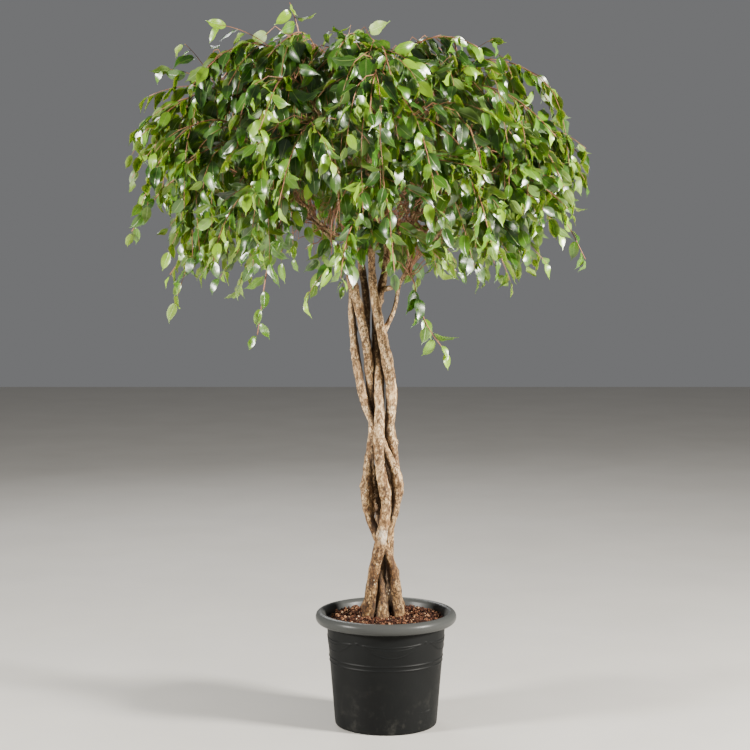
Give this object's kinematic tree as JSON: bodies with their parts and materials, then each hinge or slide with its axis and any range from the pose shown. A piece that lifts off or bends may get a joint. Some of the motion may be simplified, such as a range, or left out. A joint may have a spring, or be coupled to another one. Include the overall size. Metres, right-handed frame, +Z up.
{
  "type": "potted weeping fig",
  "caption": "Weeping fig with a braided trunk of bare stems under a round drooping crown, standing in the soil of a dark plastic nursery pot.",
  "frame": {"origin": "middle of the pot's foot, on the floor", "axes": "+Z up along the pot's axis, +Y away from the picture's viewer, +X to the viewer's right"},
  "size_m": [1.141, 1.0477, 1.7684],
  "materials": {
    "pot": "satin anthracite",
    "soil": "granulated bark and clay",
    "bark": "pale mottled bark",
    "leaf": "glossy leaf"
  },
  "bodies": {
    "root": {"pot": "pot", "soil": "soil", "spray_01": "leaf", "spray_02": "leaf", "spray_03": "leaf", "spray_04": "leaf", "spray_05": "leaf", "spray_06": "leaf", "spray_07": "leaf", "spray_08": "leaf", "spray_09": "leaf", "spray_10": "leaf", "spray_11": "leaf", "spray_12": "leaf", "spray_13": "leaf", "spray_14": "leaf", "spray_15": "leaf", "spray_16": "leaf", "spray_17": "leaf", "spray_18": "leaf", "spray_19": "leaf", "spray_20": "leaf", "spray_21": "leaf", "spray_22": "leaf", "spray_23": "leaf", "spray_24": "leaf", "spray_25": "leaf", "spray_26": "leaf", "spray_27": "leaf", "spray_28": "leaf", "spray_29": "leaf", "spray_30": "leaf", "spray_31": "leaf", "spray_32": "leaf", "spray_33": "leaf", "spray_34": "leaf", "spray_35": "leaf", "spray_36": "leaf", "spray_37": "leaf", "spray_38": "leaf", "spray_39": "leaf", "spray_40": "leaf", "spray_41": "leaf", "spray_42": "leaf", "spray_43": "leaf", "spray_44": "leaf", "spray_45": "leaf", "spray_46": "leaf", "stem_back": "bark", "stem_front": "bark", "stem_left": "bark", "stem_middle": "bark", "stem_right": "bark"}
  },
  "joints": []
}
